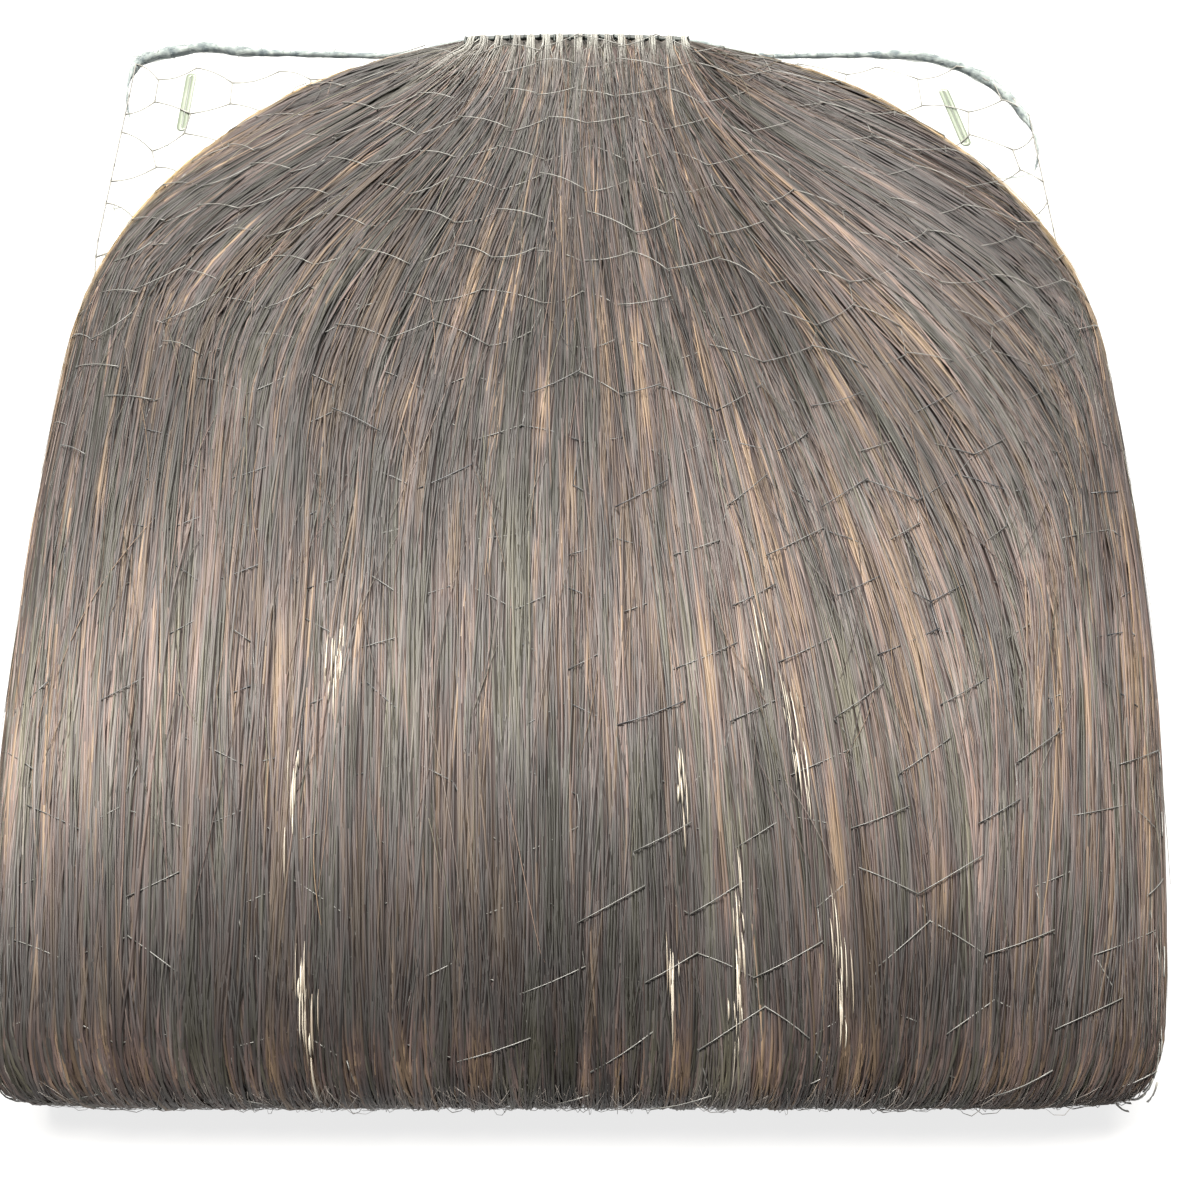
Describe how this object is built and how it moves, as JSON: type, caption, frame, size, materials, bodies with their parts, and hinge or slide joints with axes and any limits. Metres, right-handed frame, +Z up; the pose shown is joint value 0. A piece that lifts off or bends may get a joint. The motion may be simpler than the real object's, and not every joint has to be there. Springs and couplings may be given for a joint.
{
  "type": "clip-in bangs on a clear card",
  "caption": "Clip-in bangs: a fan of straight hair sewn to a weft with spring clips, laid over a clear plastic card, rolled round its lower edge and held by a fine net with an elastic rim.",
  "frame": {"origin": "bottom centre of the whole, on the surface it lies on", "axes": "+X to the right seen from the front of the hair, +Y towards the weft, +Z up out of the card"},
  "size_m": [0.1556, 0.1756, 0.02],
  "materials": {
    "clear_plastic": "clear, smooth sheet",
    "hair_fibre": "straight satin hair fibre, dark brown with lighter strands",
    "sewn_weft": "sewn hair bundles",
    "dark_steel": "dark lacquered spring strip",
    "elastic": "fuzzy covered elastic"
  },
  "bodies": {
    "root": {"card": "clear_plastic", "hair": "hair_fibre", "weft_band": "sewn_weft", "clip_left": "dark_steel", "clip_right": "dark_steel", "net_rim": "elastic"}
  },
  "joints": []
}
